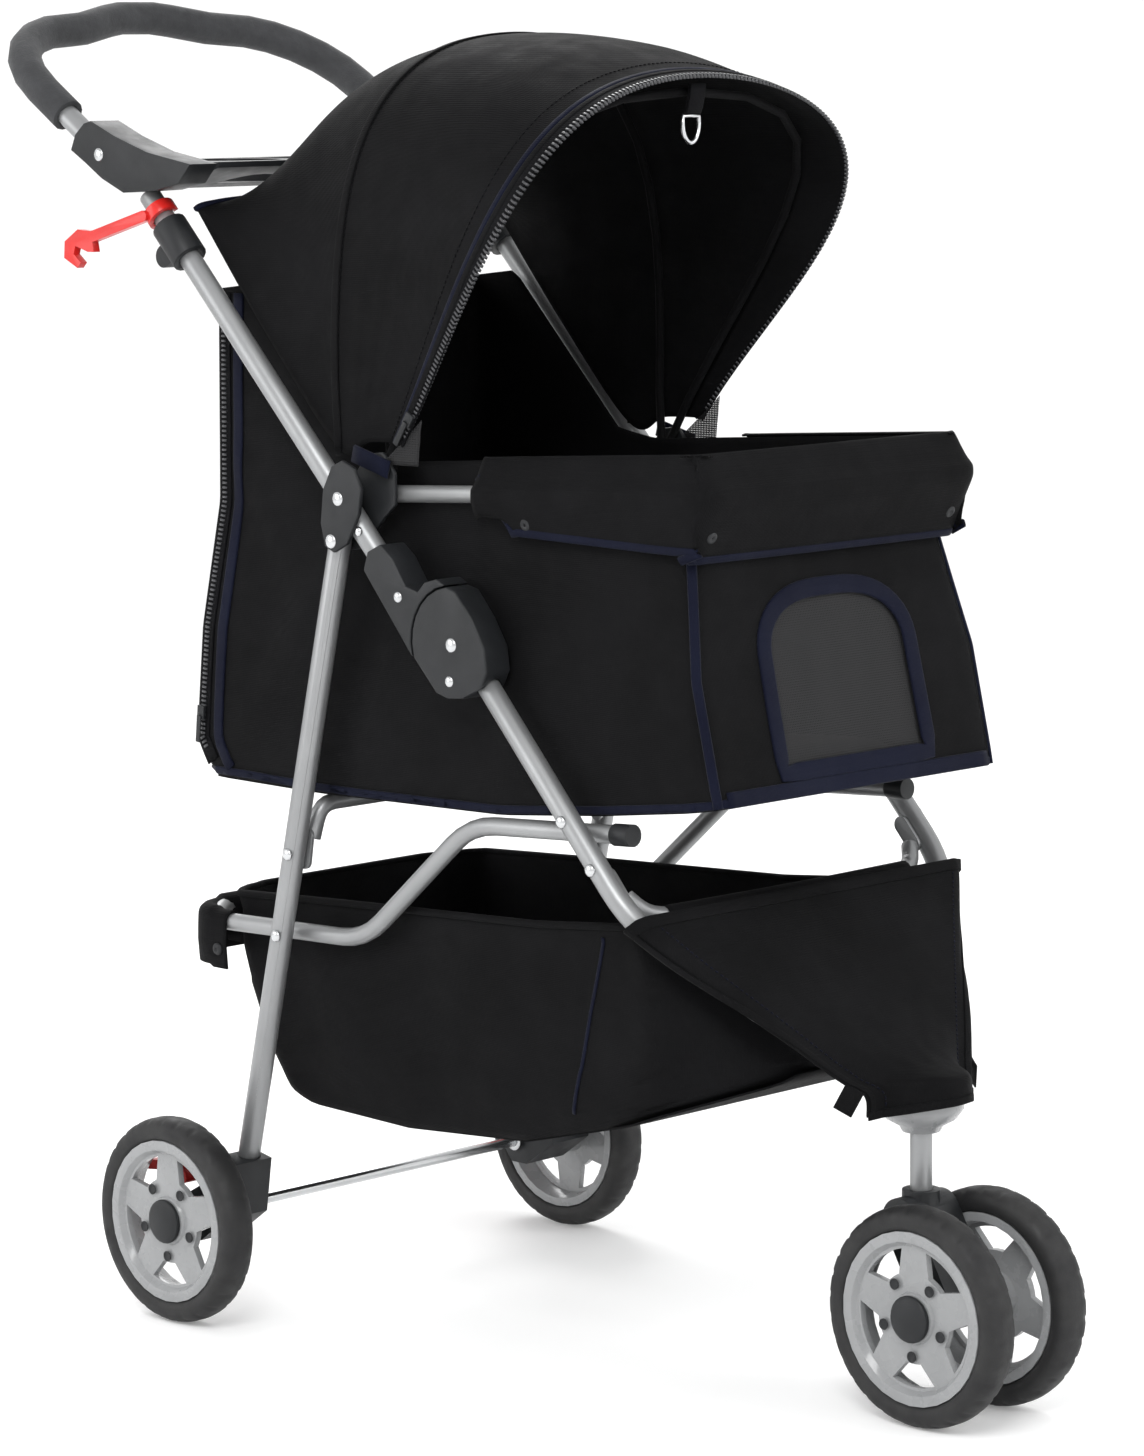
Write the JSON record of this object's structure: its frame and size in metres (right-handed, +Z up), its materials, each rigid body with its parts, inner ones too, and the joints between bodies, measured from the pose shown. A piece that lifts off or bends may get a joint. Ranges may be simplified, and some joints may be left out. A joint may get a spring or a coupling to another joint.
{
  "type": "pet stroller",
  "caption": "Folding three-wheeled pet stroller with a hooded fabric cabin, a basket below, a parent tray and a curved handle.",
  "frame": {"origin": "under the middle of the whole object, on the ground", "axes": "+X forward, the way the stroller is pushed; +Y to its left; +Z up"},
  "size_m": [0.9134, 0.4286, 0.949],
  "materials": {
    "silver_tube": "satin silver paint",
    "bright_steel": "bright steel",
    "black_plastic": "fine matte black",
    "grey_plastic": "light grey gloss",
    "red_plastic": "satin red",
    "foam": "fine-grained foam",
    "tyre": "matte with a fine tread",
    "black_fabric": "woven polyester, near black",
    "board": "matte panel"
  },
  "bodies": {
    "carrier": {"basket_tube": "silver_tube", "tube_cap_right": "black_plastic", "tube_cap_left": "black_plastic", "link_spacer_right": "black_plastic", "link_spacer_left": "black_plastic", "cabin_shell": "black_fabric", "basket_bag": "black_fabric"},
    "floor": {"floor_board": "board", "seat_pad": "black_fabric"},
    "front_legs": {"front_leg_right": "silver_tube", "front_leg_left": "silver_tube", "knee_housing_right": "black_plastic", "knee_housing_left": "black_plastic", "front_casting": "grey_plastic", "front_cross_bar": "silver_tube", "front_apron": "black_fabric"},
    "push_frame": {"push_tube_right": "silver_tube", "push_tube_left": "silver_tube", "handle_bar": "silver_tube", "handle_grip": "foam", "parent_tray": "black_plastic", "tray_socket_right": "black_plastic", "tray_socket_left": "black_plastic", "hinge_plate_right": "black_plastic", "hinge_plate_left": "black_plastic", "pivot_bracket_right": "black_plastic", "pivot_bracket_left": "black_plastic", "knee_plate_right": "bright_steel", "knee_plate_left": "bright_steel", "canopy_shell": "black_fabric"},
    "rear_legs": {"rear_leg_right": "silver_tube", "rear_leg_left": "silver_tube", "rear_support_bar": "silver_tube", "rear_axle": "bright_steel", "rear_housing_right": "black_plastic", "rear_housing_left": "black_plastic"},
    "cabin_rim": {"cabin_rim_tube": "silver_tube"},
    "lock_right": {"lock_sleeve_right": "black_plastic"},
    "lock_left": {"lock_sleeve_left": "black_plastic"},
    "canopy_front": {"canopy_front_bow": "black_fabric"},
    "canopy_middle": {"canopy_middle_bow": "black_fabric"},
    "hook": {"fold_hook": "red_plastic"},
    "swivel": {"swivel_fork": "black_plastic", "swivel_stem": "silver_tube", "front_axle": "bright_steel"},
    "brake_right": {"brake_pedal_right": "red_plastic"},
    "brake_left": {"brake_pedal_left": "red_plastic"},
    "front_wheel_right": {"front_right_rim": "grey_plastic", "front_right_tyre": "tyre", "front_right_hub_cap": "black_plastic"},
    "front_wheel_left": {"front_left_rim": "grey_plastic", "front_left_tyre": "tyre", "front_left_hub_cap": "black_plastic"},
    "rear_wheel_right": {"rear_right_rim": "grey_plastic", "rear_right_tyre": "tyre", "rear_right_hub_cap": "black_plastic"},
    "rear_wheel_left": {"rear_left_rim": "grey_plastic", "rear_left_tyre": "tyre", "rear_left_hub_cap": "black_plastic"}
  },
  "joints": [
    {"name": "frame_fold", "type": "hinge", "parent": "carrier", "child": "front_legs", "pos_m": [0.17642, 0, 0.394], "axis": [0, -1, 0], "range_deg": [0, 46.6], "deforming": ["cabin_shell", "basket_bag", "front_apron"]},
    {"name": "knee", "type": "hinge", "parent": "front_legs", "child": "push_frame", "pos_m": [0.07642, 0, 0.511], "axis": [0, 1, 0], "range_deg": [0, 120.5]},
    {"name": "rear_leg_fold", "type": "hinge", "parent": "push_frame", "child": "rear_legs", "pos_m": [-0.04258, 0, 0.574], "axis": [0, -1, 0], "range_deg": [0, 54.5]},
    {"name": "rim_drop", "type": "slide", "parent": "carrier", "child": "cabin_rim", "axis": [0, 0, -1], "range_m": [0, 0.1625]},
    {"name": "floor_lift", "type": "slide", "parent": "carrier", "child": "floor", "axis": [0, 0, 1], "range_m": [0, 0.0415]},
    {"name": "lock_slide_right", "type": "slide", "parent": "push_frame", "child": "lock_right", "axis": [-0.6981, 0, 0.716], "range_m": [0, 0.015], "stiffness_N_per_m": 300},
    {"name": "lock_slide_left", "type": "slide", "parent": "push_frame", "child": "lock_left", "axis": [-0.6981, 0, 0.716], "range_m": [0, 0.015], "stiffness_N_per_m": 300},
    {"name": "canopy_fold", "type": "hinge", "parent": "push_frame", "child": "canopy_front", "pos_m": [-0.01758, 0, 0.622], "axis": [0, -1, 0], "range_deg": [0, 60], "deforming": ["canopy_shell"]},
    {"name": "canopy_middle_fold", "type": "hinge", "parent": "push_frame", "child": "canopy_middle", "pos_m": [-0.01758, 0, 0.622], "axis": [0, -1, 0], "range_deg": [0, 31]},
    {"name": "hook_turn", "type": "hinge", "parent": "push_frame", "child": "hook", "pos_m": [-0.23113, -0.157, 0.79624], "axis": [0.6981, 0, -0.716], "range_deg": [-20, 20]},
    {"name": "front_swivel", "type": "hinge", "parent": "front_legs", "child": "swivel", "pos_m": [0.35042, 0, 0.17], "axis": [0, 0, 1], "continuous": true},
    {"name": "front_spin_right", "type": "hinge", "parent": "swivel", "child": "front_wheel_right", "pos_m": [0.38242, -0.037, 0.075], "axis": [0, 1, 0], "continuous": true},
    {"name": "front_spin_left", "type": "hinge", "parent": "swivel", "child": "front_wheel_left", "pos_m": [0.38242, 0.037, 0.075], "axis": [0, 1, 0], "continuous": true},
    {"name": "rear_spin_right", "type": "hinge", "parent": "rear_legs", "child": "rear_wheel_right", "pos_m": [-0.18758, -0.199, 0.075], "axis": [0, 1, 0], "continuous": true},
    {"name": "rear_spin_left", "type": "hinge", "parent": "rear_legs", "child": "rear_wheel_left", "pos_m": [-0.18758, 0.199, 0.075], "axis": [0, 1, 0], "continuous": true},
    {"name": "brake_turn_right", "type": "hinge", "parent": "rear_legs", "child": "brake_right", "pos_m": [-0.20758, -0.17, 0.108], "axis": [0, -1, 0], "range_deg": [0, 18]},
    {"name": "brake_turn_left", "type": "hinge", "parent": "rear_legs", "child": "brake_left", "pos_m": [-0.20758, 0.17, 0.108], "axis": [0, -1, 0], "range_deg": [0, 18]}
  ],
  "couplings": [
    {"joint": "knee", "follows": "frame_fold", "ratio": 2.5751},
    {"joint": "rear_leg_fold", "follows": "frame_fold", "ratio": 1.1588},
    {"joint": "rim_drop", "follows": "frame_fold", "m_per_rad": 0.19795},
    {"joint": "floor_lift", "follows": "frame_fold", "m_per_rad": 0.05},
    {"joint": "canopy_middle_fold", "follows": "canopy_fold", "ratio": 0.5}
  ]
}
